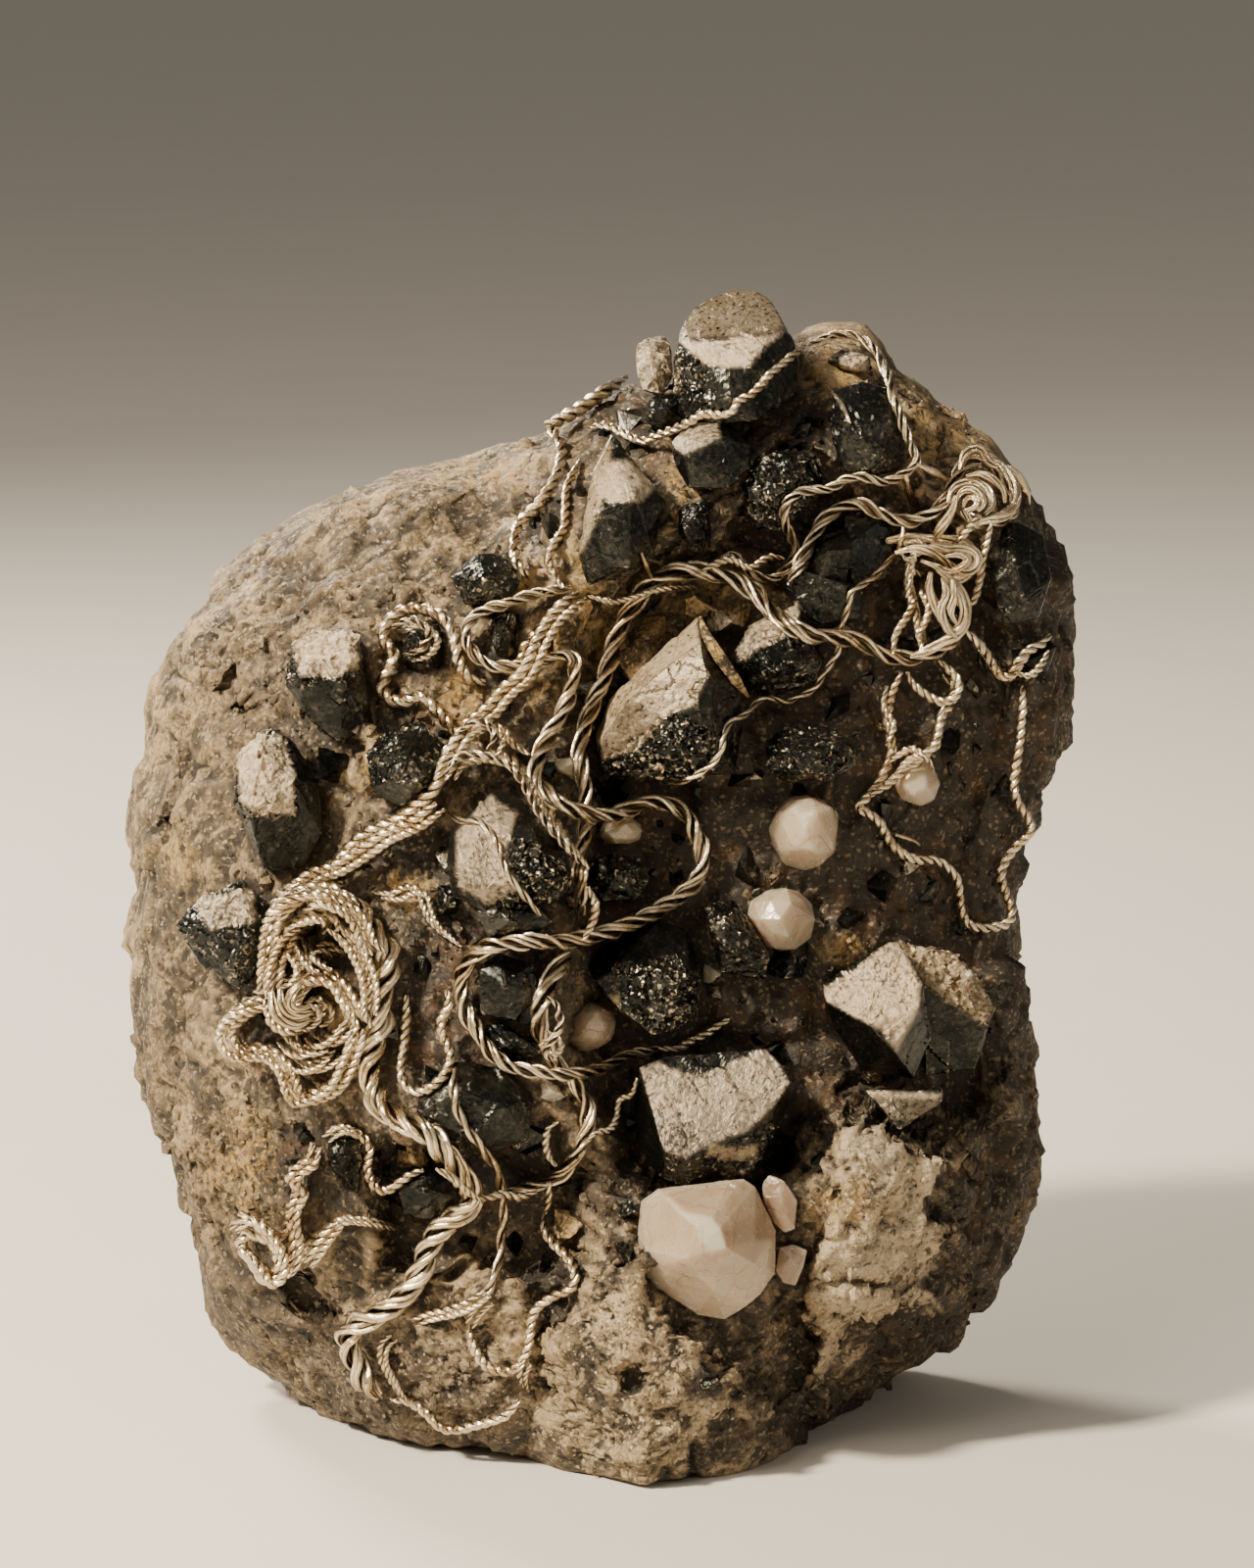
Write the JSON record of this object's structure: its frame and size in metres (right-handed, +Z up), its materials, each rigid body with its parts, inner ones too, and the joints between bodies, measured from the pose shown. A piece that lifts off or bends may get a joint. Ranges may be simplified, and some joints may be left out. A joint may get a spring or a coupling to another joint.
{
  "type": "wire silver specimen",
  "caption": "Cabinet mineral specimen: braided wires of native silver over galena and calcite crystals on a weathered rock that stands on a flat spot.",
  "frame": {"origin": "centre of the bounding box on the ground plane, under the rock's flat foot", "axes": "+Z up, -Y towards the face that carries the silver, +X to that face's right"},
  "size_m": [0.0713, 0.0518, 0.0844],
  "materials": {
    "matrix_rock": "weathered brown-grey rock with ochre iron stains, pits and a dark brown recess",
    "galena": "lead-grey metallic cleavage faces, bright where they catch light, with sparkling broken edges",
    "calcite": "milky, slightly see-through pinkish white with waxy dull facets",
    "native_silver": "native silver with a warm tarnish, finely striated along each wire"
  },
  "bodies": {
    "root": {"matrix_rock": "matrix_rock", "galena_crown": "galena", "galena_under_crown": "galena", "galena_upper_druse": "galena", "galena_upper_right": "galena", "galena_upper_left": "galena", "galena_below_loop": "galena", "galena_great": "galena", "galena_black_druse": "galena", "galena_right_druse": "galena", "galena_heart": "galena", "galena_inner": "galena", "galena_by_calcite": "galena", "galena_middle": "galena", "galena_lower_great": "galena", "galena_right_point": "galena", "galena_shard": "galena", "galena_left_upper": "galena", "galena_left_tall": "galena", "galena_left_edge": "galena", "galena_left_inner": "galena", "galena_small_upper": "galena", "galena_lower_left": "galena", "galena_smooth": "galena", "galena_blue_lump": "galena", "galena_right_edge": "galena", "calcite_great": "calcite", "calcite_beside_great": "calcite", "calcite_under_great": "calcite", "calcite_right": "calcite", "calcite_bright": "calcite", "calcite_upper_right": "calcite", "calcite_round": "calcite", "calcite_inner": "calcite", "silver_left_edge": "native_silver", "silver_crown_strand": "native_silver", "silver_upper_braid": "native_silver", "silver_upper_loop": "native_silver", "silver_thread": "native_silver", "silver_skein": "native_silver", "silver_skein_fall": "native_silver", "silver_long_right": "native_silver", "silver_side_branch": "native_silver", "silver_hanger": "native_silver", "silver_arch": "native_silver", "silver_far_loop": "native_silver", "silver_long_diagonal": "native_silver", "silver_cross_braid": "native_silver", "silver_thin_cross": "native_silver", "silver_centre_braid": "native_silver", "silver_long_s": "native_silver", "silver_mid_strand": "native_silver", "silver_nest_rim": "native_silver", "silver_nest_coil": "native_silver", "silver_left_tangle": "native_silver", "silver_left_hook": "native_silver", "silver_lower_loop": "native_silver", "silver_lower_strand": "native_silver", "silver_bottom_strand": "native_silver", "silver_hanging_braid": "native_silver"}
  },
  "joints": []
}
